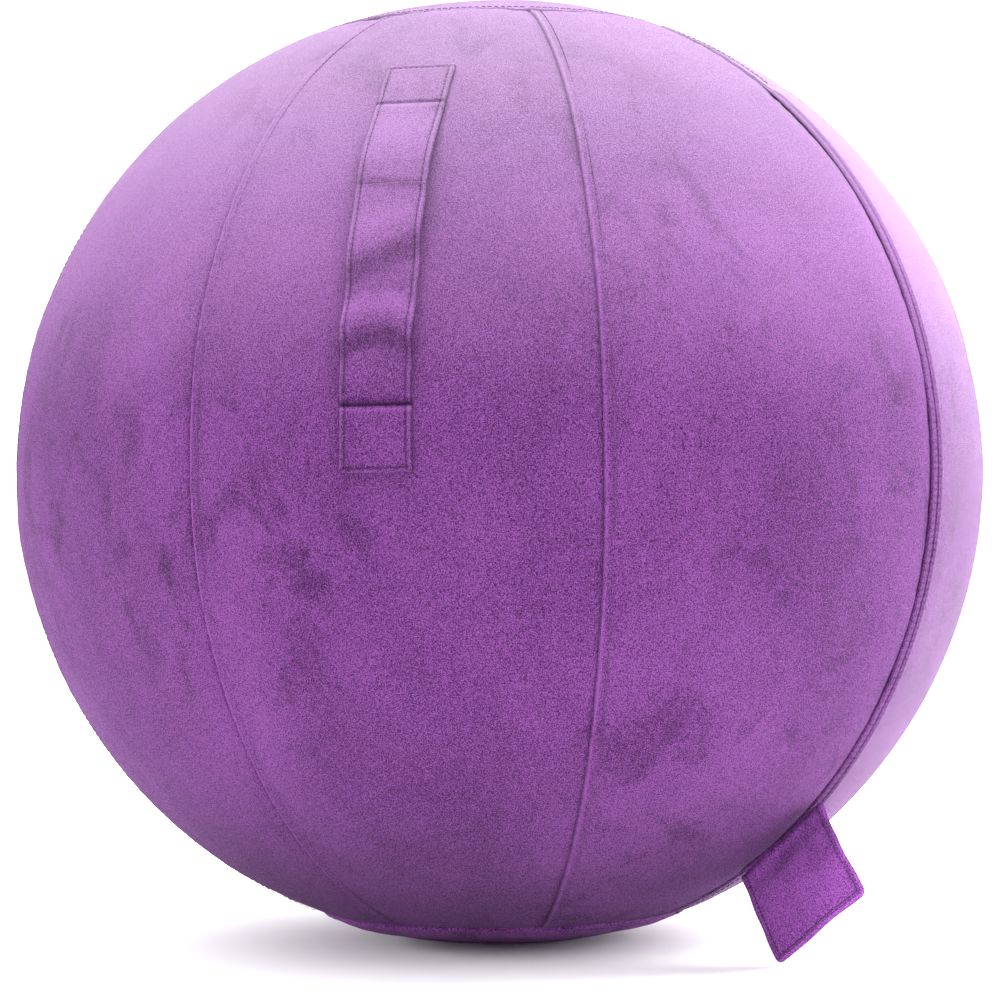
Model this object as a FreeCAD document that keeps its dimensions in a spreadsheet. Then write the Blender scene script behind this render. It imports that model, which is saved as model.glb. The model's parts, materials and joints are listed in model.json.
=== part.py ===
import FreeCAD, Part

import math
import os
import Sketcher

# A sitting ball in a padded velvet cover: an inflated ball inside eight sewn panels, a round top piece,
# a weighted base, a hidden zip with its slider and puller along one seam, a carrying strap on one panel
# and a square tab beside the zip.
#
# The frame has +Z up and its origin on the floor, under the middle of the ball. Azimuth is measured from
# -Y towards +X, and seams run along every 45 degrees of it, but for the zip's. Each seam follows one
# circular arc, whose centre lies a little off the axis. Elevation is the angle above the horizontal, seen from that centre.
# Sizes are in millimetres and degrees.

SIZES = {
    # the ball and its cover
    "arc_radius": 317.0,  # of each seam's arc, on the cover's outside
    "arc_offset": 8.0,  # from the axis to the arc's centre
    "centre_height": 315.0,
    "cover_thick": 6.0,  # velvet on a thin foam backing
    "top_edge_angle": 68.4,  # elevation of the panels' upper ends
    "base_edge_angle": 68.8,  # the same below
    "panel_count": 8.0,
    "seam_gap_angle": 0.04,
    "ridge_width": 7.5,  # the folded seam allowance beside each seam
    "ridge_height": 1.2,
    "ridge_root": 1.0,
    "fabric_gap": 0.4,
    "bladder_wall": 1.2,
    "bladder_flat_height": 20.0,
    "cut_margin": 2.0,  # how far a cut runs past what it cuts
    # the base
    "weight_inner_radius": 40.0,
    "weight_outer_radius": 94.0,
    "weight_top": 18.6,
    "lining_radius": 100.0,
    "lining_thick": 0.7,
    "lining_gap": 0.3,
    # the valve
    "valve_azimuth": 56.0,
    "valve_hole_radius": 9.0,
    "valve_flange_radius": 14.0,
    "valve_flange_thick": 2.0,
    "valve_neck_length": 12.0,
    "valve_bore_radius": 4.5,
    "plug_head_radius": 7.0,
    "plug_head_thick": 1.0,
    "plug_stem_radius": 4.45,
    "plug_stem_length": 9.0,
    "plug_recess": 0.2,
    "seat_gap": 0.05,
    "valve_fit_gap": 0.1,
    "bore_spare": 1.0,  # how much deeper the bore is than the stem
    # the zip, whose radii are measured from the seam arc's centre
    "zip_azimuth": 46.2,  # a little past the even division into eight
    "pocket_width": 7.7,
    "pocket_low_angle": -55.0,
    "pocket_high_angle": 49.0,
    "slit_half": 0.8,
    "lip_edge": 7.6,
    "lip_inner": 315.4,
    "lip_outer": 318.0,
    "lip_end_gap": 0.1,
    "tape_inner": 312.9,
    "tape_outer": 313.5,
    "tape_edge": 7.5,
    "coil_inner": 312.35,
    "coil_outer": 314.05,
    "coil_near": 0.55,
    "coil_far": 2.3,
    "chain_low_angle": -52.6,
    "chain_high_angle": 47.4,
    "stop_angle": 0.7,
    "stop_half": 2.25,
    # the slider
    "slider_angle": -51.0,
    "slider_half_angle": 1.15,
    "slider_width": 8.0,
    "slider_floor_inner": 311.35,
    "slider_floor_outer": 312.05,
    "slider_roof_inner": 314.35,
    "slider_roof_outer": 315.1,
    "slider_flange_near": 3.1,
    "slider_flange_depth": 0.5,
    "web_width": 0.8,
    "web_half_angle": 0.52,
    "web_top": 321.9,
    "pin_radius_place": 320.3,
    "pin_hole_radius": 0.87,
    # the puller
    "pin_radius": 0.8,
    "pin_length": 4.4,
    "arm_near": 0.7,
    "arm_width": 1.5,
    "arm_height": 4.5,
    "arm_overlap": 1.0,
    "puller_width": 6.4,
    "puller_thick": 1.3,
    "puller_length": 24.0,
    "puller_hole_radius": 1.6,
    # the tab
    "tab_angle": -48.7,
    "tab_side": 8.0,  # from the slit to the tab's root
    "tab_lean": 26.5,
    "tab_width": 75.5,
    "tab_length": 70.0,
    "tab_layer": 1.6,
    "tab_corner": 4.0,
    "tab_root_rise": 2.1,
    "tab_root_gap": 0.05,
    # the carrying strap
    "strap_azimuth": -23.2,
    "strap_width": 42.0,
    "strap_thick": 3.0,
    "strap_low_angle": -1.7,
    "strap_high_angle": 49.6,
    "strap_end_angle": 7.0,
    "strap_slack_angle": 9.0,
    "strap_end_rise": 0.3,
    "strap_slack_rise": 1.0,
    "grip_rise": 2.2,
    "strap_gap_angle": 0.06,
}

doc = FreeCAD.newDocument("sitting_ball")
sheet = doc.addObject("Spreadsheet::Sheet", "Sizes")
for row, (alias, number) in enumerate(SIZES.items(), start=1):
    sheet.set(f"A{row}", alias)
    sheet.set(f"B{row}", str(number))
    sheet.setAlias(f"B{row}", alias)
doc.recompute()

UP = FreeCAD.Vector(0, 0, 1)
ORIGIN = FreeCAD.Vector(0, 0, 0)


class Size:
    """A size as an expression on the sheet, with its present value."""

    def __init__(self, text, value):
        self.text = text
        self.value = value

    def join(self, sign, other, value):
        return Size(f"({self.text} {sign} {text_of(other)})", value)

    def __add__(self, other):
        return self.join("+", other, self.value + value_of(other))

    def __sub__(self, other):
        return self.join("-", other, self.value - value_of(other))

    def __mul__(self, other):
        return self.join("*", other, self.value * value_of(other))

    def __truediv__(self, other):
        return self.join("/", other, self.value / value_of(other))

    def cosine(self):
        return Size(f"cos({self.text} * 1 deg)", math.cos(math.radians(self.value)))

    def sine(self):
        return Size(f"sin({self.text} * 1 deg)", math.sin(math.radians(self.value)))

    def tangent(self):
        return Size(f"tan({self.text} * 1 deg)", math.tan(math.radians(self.value)))

    def __neg__(self):
        return Size(f"(0 - {self.text})", -self.value)


def text_of(size):
    return size.text if isinstance(size, Size) else str(size)


def value_of(size):
    return size.value if isinstance(size, Size) else float(size)


def dim(alias):
    return Size(f"Sizes.{alias}", float(SIZES[alias]))


def at_azimuth(azimuth):
    """The turn that carries local +X to an azimuth."""
    return FreeCAD.Placement(ORIGIN, FreeCAD.Rotation(UP, azimuth - 90))


def radial(azimuth):
    return FreeCAD.Vector(math.sin(math.radians(azimuth)), -math.cos(math.radians(azimuth)), 0)


def sideways(azimuth):
    return FreeCAD.Vector(math.cos(math.radians(azimuth)), math.sin(math.radians(azimuth)), 0)


def new_body(label, azimuth=90.0):
    body = doc.addObject("PartDesign::Body", label)
    body.Label = label
    body.Placement = at_azimuth(azimuth)
    return body


def new_sketch(body, name, role="XZ_Plane", turn=0.0):
    """A sketch on one of the body's own planes, turned about the plane's vertical by turn degrees."""
    plane = next(f for f in body.Origin.OriginFeatures if f.Role == role)
    sketch = body.newObject("Sketcher::SketchObject", name)
    sketch.AttachmentSupport = [(plane, "")]
    sketch.MapMode = "FlatFace"
    sketch.AttachmentOffset = FreeCAD.Placement(ORIGIN, FreeCAD.Rotation(FreeCAD.Vector(0, 1, 0), turn))
    return sketch


def bind(sketch, kind, name, parts, size):
    """A constraint whose value is an expression on the sheet."""
    angle = kind == "Angle"
    value = math.radians(value_of(size)) if angle else value_of(size)
    index = sketch.addConstraint(constraint(kind, parts, value))
    sketch.renameConstraint(index, name)
    sketch.setExpression(f"Constraints.{name}", f"{text_of(size)} * 1 deg" if angle else text_of(size))


def constraint(kind, parts, value=None):
    return Sketcher.Constraint(kind, *parts) if value is None else Sketcher.Constraint(kind, *parts, value)


def tie(sketch, kind, *parts):
    sketch.addConstraint(constraint(kind, parts))


def place_point(sketch, name, geometry, point, x, y):
    """Pins a point of a sketch to a place; a zero is laid on the axis instead."""
    if value_of(x) == 0:
        tie(sketch, "PointOnObject", geometry, point, -2)
    else:
        bind(sketch, "DistanceX", f"{name}_x", (-1, 1, geometry, point), x)
    if value_of(y) == 0:
        tie(sketch, "PointOnObject", geometry, point, -1)
    else:
        bind(sketch, "DistanceY", f"{name}_y", (-1, 1, geometry, point), y)


def ring_sector(sketch, centre_x, centre_z, outer, inner, low, high):
    """A slice of a ring between two radii and two elevations about a centre."""
    x, z = value_of(centre_x), value_of(centre_z)
    a0, a1 = math.radians(value_of(low)), math.radians(value_of(high))
    middle = FreeCAD.Vector(x, z, 0)

    def point(r, a):
        return FreeCAD.Vector(x + r * math.cos(a), z + r * math.sin(a), 0)

    for r in (value_of(outer), value_of(inner)):
        sketch.addGeometry(Part.ArcOfCircle(Part.Circle(middle, UP, r), a0, a1), False)
    for a in (a0, a1):
        sketch.addGeometry(Part.LineSegment(point(value_of(inner), a), point(value_of(outer), a)), False)
    for end, line in ((1, 2), (2, 3)):
        tie(sketch, "Coincident", 1, end, line, 1)
        tie(sketch, "Coincident", 0, end, line, 2)
    tie(sketch, "Coincident", 0, 3, 1, 3)
    place_point(sketch, "centre", 0, 3, centre_x, centre_z)
    bind(sketch, "Radius", "outer", (0,), outer)
    bind(sketch, "Radius", "inner", (1,), inner)
    for name, line, angle in (("low", 2, low), ("high", 3, high)):
        tie(sketch, "PointOnObject", 0, 3, line)
        bind(sketch, "Angle", name, (line,), angle)


def seam_sector(sketch, outer, inner, low, high):
    ring_sector(sketch, dim("arc_offset"), dim("centre_height"), outer, inner, low, high)


def add_pad(body, sketch, length, both=False, reverse=False):
    pad = body.newObject("PartDesign::Pad", f"{sketch.Name}_pad")
    pad.Profile = sketch
    pad.setExpression("Length", text_of(length))
    pad.Midplane = both
    pad.Reversed = reverse
    return pad


def add_pocket(body, sketch, length, both=False, reverse=False):
    pocket = body.newObject("PartDesign::Pocket", f"{sketch.Name}_cut")
    pocket.Profile = sketch
    pocket.setExpression("Length", text_of(length))
    pocket.Midplane = both
    pocket.Reversed = reverse
    return pocket


def add_turn(body, sketch, angle, cut=False):
    kind = "PartDesign::Groove" if cut else "PartDesign::Revolution"
    turn = body.newObject(kind, f"{sketch.Name}_turn")
    turn.Profile = sketch
    turn.ReferenceAxis = (sketch, ["V_Axis"])
    turn.setExpression("Angle", f"{text_of(angle)} * 1 deg")
    turn.Reversed = False
    return turn


def add_circle(sketch, x, y, radius):
    sketch.addGeometry(Part.Circle(FreeCAD.Vector(value_of(x), value_of(y), 0), UP, value_of(radius)), False)
    place_point(sketch, "middle", 0, 3, x, y)
    bind(sketch, "Radius", "radius", (0,), radius)


def add_rectangle(sketch, x0, y0, x1, y1):
    """A rectangle between two opposite corners, each side bound to the sheet."""
    corners = [(x0, y0), (x1, y0), (x1, y1), (x0, y1)]
    points = [FreeCAD.Vector(value_of(x), value_of(y), 0) for x, y in corners]
    for k in range(4):
        sketch.addGeometry(Part.LineSegment(points[k], points[(k + 1) % 4]), False)
    for k in range(4):
        tie(sketch, "Coincident", k, 2, (k + 1) % 4, 1)
        tie(sketch, "Horizontal" if k % 2 == 0 else "Vertical", k)
    place_point(sketch, "first", 0, 1, x0, y0)
    place_point(sketch, "second", 1, 2, x1, y1)


# ---- the cover ----

def strip(label, azimuth, outer, inner, low, high, near, far):
    """A strip of constant width along a seam's arc, from near to far sideways of it."""
    body = new_body(label, azimuth)
    sketch = new_sketch(body, f"{label}_outline")
    seam_sector(sketch, outer, inner, low, high)
    slab(body, sketch, near, far)
    return body


def slab(body, sketch, near, far):
    """Pads a sketch sideways from near to far; sizes to the right are positive."""
    if value_of(near) == -value_of(far):
        return add_pad(body, sketch, far * 2, both=True)
    right = value_of(far) > value_of(near)
    sketch.setExpression(".AttachmentOffset.Base.z", text_of(-near))
    return add_pad(body, sketch, far - near if right else near - far, reverse=right)


def seam(number):
    """The azimuth of a panel's left seam; the second panel's is the zip's."""
    return dim("zip_azimuth") if number == 2 else Size("360", 360.0) / dim("panel_count") * (number - 1)


def gore(number):
    """One of the eight panels, with its seam ridge, and with room for the zip beside the zip's seam."""
    start, finish = seam(number), seam(number + 1)
    body = new_body(f"gore_{number}", start.value)
    outline = new_sketch(body, f"gore_{number}_wall")
    outer = dim("arc_radius")
    low, high = -dim("base_edge_angle"), dim("top_edge_angle")
    seam_sector(outline, outer, outer - dim("cover_thick"), low, high)
    add_turn(body, outline, finish - start - dim("seam_gap_angle"))
    ridge = new_sketch(body, f"gore_{number}_ridge")
    seam_sector(ridge, outer + dim("ridge_height"), outer - dim("ridge_root"), low, high)
    add_pad(body, ridge, dim("ridge_width"), reverse=True)
    if SIZES["zip_azimuth"] in (start.value, finish.value):
        room = new_sketch(body, f"gore_{number}_zip_room", turn=SIZES["zip_azimuth"] - start.value)
        reach = dim("cover_thick") + dim("cut_margin")
        seam_sector(room, outer + reach, outer - reach, dim("pocket_low_angle"), dim("pocket_high_angle"))
        add_pocket(body, room, dim("pocket_width") * 2, both=True)
    return body


def cap_centre(angle, above):
    """The height of the centre, and the radius, of the cap that carries on from the panels' ends."""
    drop = dim("arc_offset") * angle.tangent()
    radius = dim("arc_radius") + dim("arc_offset") / angle.cosine()
    height = dim("centre_height") - drop if above else dim("centre_height") + drop
    return height, radius


def top_cap():
    body = new_body("top_cap")
    height, radius = cap_centre(dim("top_edge_angle"), above=True)
    edge = dim("top_edge_angle") + dim("seam_gap_angle")
    sketch = new_sketch(body, "top_cap_wall")
    ring_sector(sketch, 0, height, radius, radius - dim("cover_thick"), edge, 90)
    add_turn(body, sketch, 360)
    return body


def base_disc():
    """The round piece under the ball, pressed flat where it stands on the floor."""
    body = new_body("base_disc")
    height, radius = cap_centre(dim("base_edge_angle"), above=False)
    edge = -(dim("base_edge_angle") + dim("seam_gap_angle"))
    sketch = new_sketch(body, "base_disc_wall")
    ring_sector(sketch, 0, height, radius, radius - dim("cover_thick"), -90, edge)
    add_turn(body, sketch, 360)
    flat = new_sketch(body, "base_disc_flat", role="XY_Plane")
    add_circle(flat, 0, 0, dim("weight_outer_radius"))
    add_pocket(body, flat, dim("cover_thick"))
    return body


def base_weight_ring():
    """A flat ring of sand in a sewn sleeve, lying in the base."""
    body = new_body("base_weight_ring")
    height, radius = cap_centre(dim("base_edge_angle"), above=False)
    under = radius - dim("cover_thick") - dim("fabric_gap")
    sketch = new_sketch(body, "weight_section")
    inner, outer, top = (dim(k) for k in ("weight_inner_radius", "weight_outer_radius", "weight_top"))
    low_in = value_of(height) - math.sqrt(under.value**2 - inner.value**2)
    low_out = value_of(height) - math.sqrt(under.value**2 - outer.value**2)
    a0 = math.atan2(low_in - height.value, inner.value)
    a1 = math.atan2(low_out - height.value, outer.value)
    corners = (
        (inner.value, low_in),
        (outer.value, low_out),
        (outer.value, top.value),
        (inner.value, top.value),
    )
    p = [FreeCAD.Vector(x, y, 0) for x, y in corners]
    middle = FreeCAD.Vector(0, height.value, 0)
    sketch.addGeometry(Part.ArcOfCircle(Part.Circle(middle, UP, under.value), a0, a1), False)
    for k in (1, 2, 3):
        sketch.addGeometry(Part.LineSegment(p[k], p[(k + 1) % 4]), False)
    tie(sketch, "Coincident", 0, 2, 1, 1)
    tie(sketch, "Coincident", 1, 2, 2, 1)
    tie(sketch, "Coincident", 2, 2, 3, 1)
    tie(sketch, "Coincident", 3, 2, 0, 1)
    tie(sketch, "Vertical", 1)
    tie(sketch, "Horizontal", 2)
    tie(sketch, "Vertical", 3)
    place_point(sketch, "centre", 0, 3, 0, height)
    bind(sketch, "Radius", "under", (0,), under)
    place_point(sketch, "rim", 2, 1, outer, top)
    bind(sketch, "DistanceX", "bore", (-1, 1, 3, 1), inner)
    add_turn(body, sketch, 360)
    return body


def disc(label, radius, low, thick):
    body = new_body(label)
    sketch = new_sketch(body, f"{label}_outline", role="XY_Plane")
    sketch.setExpression(".AttachmentOffset.Base.z", text_of(low))
    add_circle(sketch, 0, 0, radius)
    add_pad(body, sketch, thick)
    return body


# ---- the inflated ball ----

def half_ball(sketch, radius, flat, edge):
    """Half the outline of the inflated ball: the seam arc shrunk, a cap on top and a flat underneath."""
    x, z = dim("arc_offset"), dim("centre_height")
    cap_height = z - x * edge.tangent()
    cap_radius = radius + x / edge.cosine()
    low = -math.asin((z.value - value_of(flat)) / radius.value)
    high = math.radians(edge.value)
    corner = x.value + radius.value * math.cos(low)
    top = cap_height.value + cap_radius.value
    side = Part.Circle(FreeCAD.Vector(x.value, z.value, 0), UP, radius.value)
    cap = Part.Circle(FreeCAD.Vector(0, cap_height.value, 0), UP, cap_radius.value)
    sketch.addGeometry(Part.ArcOfCircle(side, low, high), False)
    sketch.addGeometry(Part.ArcOfCircle(cap, high, math.pi / 2), False)
    bottom = FreeCAD.Vector(0, value_of(flat), 0)
    sketch.addGeometry(Part.LineSegment(FreeCAD.Vector(0, top, 0), bottom), False)
    sketch.addGeometry(Part.LineSegment(bottom, FreeCAD.Vector(corner, value_of(flat), 0)), False)
    tie(sketch, "Coincident", 0, 2, 1, 1)
    tie(sketch, "Coincident", 1, 2, 2, 1)
    tie(sketch, "Coincident", 2, 2, 3, 1)
    tie(sketch, "Coincident", 3, 2, 0, 1)
    place_point(sketch, "side", 0, 3, x, z)
    place_point(sketch, "cap", 1, 3, 0, cap_height)
    bind(sketch, "Radius", "side_radius", (0,), radius)
    bind(sketch, "DistanceX", "edge", (-1, 1, 0, 2), x + radius * edge.cosine())
    tie(sketch, "PointOnObject", 2, 1, -2)
    place_point(sketch, "foot", 3, 1, 0, flat)
    tie(sketch, "Horizontal", 3)


def ball_bladder():
    body = new_body("ball_bladder", SIZES["valve_azimuth"])
    radius = dim("arc_radius") - dim("cover_thick") - dim("fabric_gap")
    edge = dim("top_edge_angle")
    outside = new_sketch(body, "bladder_outside")
    half_ball(outside, radius, dim("bladder_flat_height"), edge)
    add_turn(body, outside, 360)
    inside = new_sketch(body, "bladder_inside")
    wall = dim("bladder_wall")
    half_ball(inside, radius - wall, dim("bladder_flat_height") + wall, edge)
    add_turn(body, inside, 360, cut=True)
    hole = new_sketch(body, "bladder_valve_hole", role="YZ_Plane")
    add_circle(hole, 0, dim("centre_height"), dim("valve_hole_radius"))
    add_pocket(body, hole, dim("arc_radius") + dim("arc_offset"), reverse=True)
    return body


def facing_out(azimuth, distance):
    """Local +Z out of the ball's side at an azimuth, at the ball's middle height."""
    out = radial(azimuth)
    place = out * distance + UP * SIZES["centre_height"]
    return FreeCAD.Placement(place, FreeCAD.Rotation(UP, out))


def round_sketch(body, name, radius, start):
    """A circle across the body's own Z axis, at start along it."""
    sketch = new_sketch(body, name, role="XY_Plane")
    sketch.setExpression(".AttachmentOffset.Base.z", text_of(start))
    add_circle(sketch, 0, 0, radius)
    return sketch


def bladder_side():
    """How far the inflated ball's side stands from the axis."""
    return SIZES["arc_offset"] + SIZES["arc_radius"] - SIZES["cover_thick"] - SIZES["fabric_gap"]


def valve_seat():
    """A rubber bush bonded under the wall, whose bore the plug closes."""
    body = new_body("valve_seat")
    flange_thick = dim("valve_flange_thick")
    neck_length = dim("valve_neck_length")
    face = dim("plug_head_thick") + dim("plug_recess")
    flange_start = -(dim("bladder_wall") + dim("fabric_gap") + flange_thick)
    flange = round_sketch(body, "seat_flange", dim("valve_flange_radius"), flange_start)
    add_pad(body, flange, flange_thick)
    neck_radius = dim("valve_hole_radius") - dim("valve_fit_gap")
    neck = round_sketch(body, "seat_neck", neck_radius, -(face + neck_length))
    add_pad(body, neck, neck_length)
    bore = round_sketch(body, "seat_bore", dim("valve_bore_radius"), -face)
    add_pocket(body, bore, dim("plug_stem_length") + dim("bore_spare"))
    body.Placement = facing_out(SIZES["valve_azimuth"], bladder_side())
    return body


def valve_plug():
    """The stopper that keeps the air in, lying flush with the inflated ball's side."""
    body = new_body("valve_plug")
    head_thick = dim("plug_head_thick")
    head_start = -(head_thick + dim("plug_recess") - dim("seat_gap"))
    head = round_sketch(body, "plug_head", dim("plug_head_radius"), head_start)
    add_pad(body, head, head_thick)
    stem_length = dim("plug_stem_length")
    stem = round_sketch(body, "plug_stem", dim("plug_stem_radius"), -(head_thick + stem_length))
    add_pad(body, stem, stem_length)
    body.Placement = facing_out(SIZES["valve_azimuth"], bladder_side())
    return body


# ---- the zip ----

def zip_strip(label, radii, low, high, near, far):
    """A piece of the zip, of constant width along its seam."""
    outer, inner = radii
    return strip(label, SIZES["zip_azimuth"], outer, inner, low, high, near, far)


def zip_pieces():
    """The two lips that hide the zip, its tapes, its coils and the stops at their ends."""
    lip = (dim("lip_outer"), dim("lip_inner"))
    tape = (dim("tape_outer"), dim("tape_inner"))
    coil = (dim("coil_outer"), dim("coil_inner"))
    end = dim("lip_end_gap")
    low, high = dim("pocket_low_angle") + end, dim("pocket_high_angle") - end
    chain_low, chain_high = dim("chain_low_angle"), dim("chain_high_angle")
    for side, sign in (("left", -1), ("right", 1)):
        slit_half = dim("slit_half") * sign
        coil_far = dim("coil_far") * sign
        zip_strip(f"zip_lip_{side}", lip, low, high, slit_half, dim("lip_edge") * sign)
        zip_strip(f"zip_tape_{side}", tape, low, high, coil_far, dim("tape_edge") * sign)
        zip_strip(f"zip_coil_{side}", coil, chain_low, chain_high, dim("coil_near") * sign, coil_far)
    stop = dim("stop_angle")
    half = dim("stop_half")
    zip_strip("zip_lower_stop", coil, chain_low - stop, chain_low - end, -half, half)
    zip_strip("zip_upper_stop", coil, chain_high + end, chain_high + stop, -half, half)


def zip_slider():
    """Two plates round the coils, joined by a web between the lips that carries the puller's pin."""
    body = new_body("zip_slider", SIZES["zip_azimuth"])
    middle, reach, thin = dim("slider_angle"), dim("slider_half_angle"), dim("web_half_angle")
    half, near, web = dim("slider_width") / 2, dim("slider_flange_near"), dim("web_width") / 2
    floor_in, floor_out = dim("slider_floor_inner"), dim("slider_floor_outer")
    roof_in, roof_out = dim("slider_roof_inner"), dim("slider_roof_outer")
    depth = dim("slider_flange_depth")
    layers = (
        ("slider_floor", floor_out, floor_in, reach, -half, half),
        ("slider_web", dim("web_top"), floor_in, thin, -web, web),
        ("slider_roof", roof_out, roof_in, reach, -half, half),
        ("slider_left_low", floor_out + depth, floor_in, reach, -near, -half),
        ("slider_right_low", floor_out + depth, floor_in, reach, near, half),
        ("slider_left_high", roof_out, roof_in - depth, reach, -near, -half),
        ("slider_right_high", roof_out, roof_in - depth, reach, near, half),
    )
    for name, outer, inner, spread, from_side, to_side in layers:
        sketch = new_sketch(body, name)
        seam_sector(sketch, outer, inner, middle - spread, middle + spread)
        slab(body, sketch, from_side, to_side)
    hole = new_sketch(body, "slider_pin_hole")
    x = dim("arc_offset") + dim("pin_radius_place") * middle.cosine()
    z = dim("centre_height") + dim("pin_radius_place") * middle.sine()
    add_circle(hole, x, z, dim("pin_hole_radius"))
    add_pocket(body, hole, dim("pin_length"), both=True)
    return body


def pin_place():
    """The middle of the puller's pin."""
    angle = math.radians(SIZES["slider_angle"])
    out = SIZES["arc_offset"] + SIZES["pin_radius_place"] * math.cos(angle)
    height = SIZES["centre_height"] + SIZES["pin_radius_place"] * math.sin(angle)
    return radial(SIZES["zip_azimuth"]) * out + UP * height


def zip_puller():
    """A pin between two arms, and a plate with a hole, hanging straight down."""
    body = new_body("zip_puller", SIZES["zip_azimuth"])
    pin = new_sketch(body, "puller_pin")
    add_circle(pin, 0, 0, dim("pin_radius"))
    add_pad(body, pin, dim("pin_length"), both=True)
    half = dim("puller_thick") / 2
    for name, sign in (("puller_left_arm", -1), ("puller_right_arm", 1)):
        arm = new_sketch(body, name)
        add_rectangle(arm, -half, -dim("arm_height"), half, dim("pin_radius"))
        slab(body, arm, dim("arm_near") * sign, (dim("arm_near") + dim("arm_width")) * sign)
    plate = new_sketch(body, "puller_plate")
    add_rectangle(plate, -half, -dim("puller_length"), half, dim("arm_overlap") - dim("arm_height"))
    add_pad(body, plate, dim("puller_width"), both=True)
    hole = new_sketch(body, "puller_eye", role="YZ_Plane")
    eye = dim("puller_width") / 2 - dim("puller_length")
    add_circle(hole, 0, eye, dim("puller_hole_radius"))
    add_pocket(body, hole, dim("puller_width"), both=True)
    body.Placement = FreeCAD.Placement(pin_place(), at_azimuth(SIZES["zip_azimuth"]).Rotation)
    return body


# ---- the tab beside the zip ----

def tab_frame():
    """Local +X down the seam, +Y out along the tab, and +Z from the tab's back to its front."""
    angle = math.radians(SIZES["tab_angle"])
    out, side = radial(SIZES["zip_azimuth"]), sideways(SIZES["zip_azimuth"])
    normal = out * math.cos(angle) + UP * math.sin(angle)
    along = out * math.sin(angle) - UP * math.cos(angle)
    lean = math.radians(SIZES["tab_lean"])
    outward = normal * math.cos(lean) - side * math.sin(lean)
    rise = SIZES["lip_outer"] + SIZES["tab_root_rise"]
    centre = out * SIZES["arc_offset"] + UP * SIZES["centre_height"]
    place = centre + normal * rise - side * SIZES["tab_side"]
    return place, FreeCAD.Rotation(along, outward, along.cross(outward), "XYZ")


def side_tab(label, front):
    """One of the tab's two sewn layers; the front one carries the rolled root."""
    body = new_body(label)
    half, length = dim("tab_width") / 2, dim("tab_length")
    sketch = new_sketch(body, f"{label}_outline", role="XY_Plane")
    add_rectangle(sketch, -half, 0.0, half, length)
    pad = add_pad(body, sketch, dim("tab_layer"), reverse=not front)
    doc.recompute()
    corners = [
        f"Edge{k}"
        for k, edge in enumerate(pad.Shape.Edges, start=1)
        if abs(edge.BoundBox.ZLength) > 0.5 and edge.BoundBox.YMin > length.value - 0.5
    ]
    fillet = body.newObject("PartDesign::Fillet", f"{label}_corners")
    fillet.Base = (pad, corners)
    fillet.setExpression("Radius", text_of(dim("tab_corner")))
    body.Tip = fillet
    if front:
        root = new_sketch(body, "tab_root", role="YZ_Plane")
        add_circle(root, 0, 0, dim("tab_layer"))
        add_pad(body, root, dim("tab_width"), both=True)
    else:
        root = new_sketch(body, "tab_root_room", role="YZ_Plane")
        add_circle(root, 0, 0, dim("tab_layer") + dim("tab_root_gap"))
        add_pocket(body, root, dim("tab_width") + dim("cut_margin"), both=True)
    body.Placement = FreeCAD.Placement(*tab_frame())
    return body


# ---- the carrying strap ----

def carrying_strap():
    """One strap in five stretches: sewn ends, slack stretches and the grip that lifts."""
    low, high = dim("strap_low_angle"), dim("strap_high_angle")
    end, slack, gap = dim("strap_end_angle"), dim("strap_slack_angle"), dim("strap_gap_angle")
    stretches = (
        ("handle_lower_end", low, low + end, "strap_end_rise"),
        ("handle_lower_slack", low + end + gap, low + end + slack, "strap_slack_rise"),
        ("handle_grip", low + end + slack + gap, high - end - slack - gap, "grip_rise"),
        ("handle_upper_slack", high - end - slack, high - end - gap, "strap_slack_rise"),
        ("handle_upper_end", high - end, high, "strap_end_rise"),
    )
    half = dim("strap_width") / 2
    for label, start, finish, rise in stretches:
        inner = dim("arc_radius") + dim(rise)
        outer = inner + dim("strap_thick")
        strip(label, SIZES["strap_azimuth"], outer, inner, start, finish, -half, half)


for number in range(1, int(SIZES["panel_count"]) + 1):
    gore(number)
top_cap()
base_disc()
base_weight_ring()
disc("base_lining", dim("lining_radius"), dim("weight_top") + dim("lining_gap"), dim("lining_thick"))
ball_bladder()
valve_seat()
valve_plug()
zip_pieces()
zip_slider()
zip_puller()
side_tab("side_tab_front", True)
side_tab("side_tab_back", False)
carrying_strap()

doc.recompute()
for thing in doc.Objects:
    if any(word in ("Invalid", "Error") for word in thing.State):
        raise RuntimeError(f"{thing.Name} failed: {thing.State}")
bodies = [thing for thing in doc.Objects if thing.TypeId == "PartDesign::Body"]
for body in bodies:
    if body.Shape.isNull() or not body.Shape.isValid() or body.Shape.Volume <= 0:
        raise RuntimeError(f"{body.Label} has no valid solid")
os.makedirs("parts", exist_ok=True)
for body in bodies:
    body.Shape.exportStep(os.path.join("parts", f"{body.Label}.step"))
    print(f"{body.Label}: {len(body.Shape.Solids)} solid, {body.Shape.Volume / 1000:.1f} cm3")
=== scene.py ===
import json
import math

import bpy
import numpy as np
from mathutils import Matrix, Vector, noise


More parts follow.
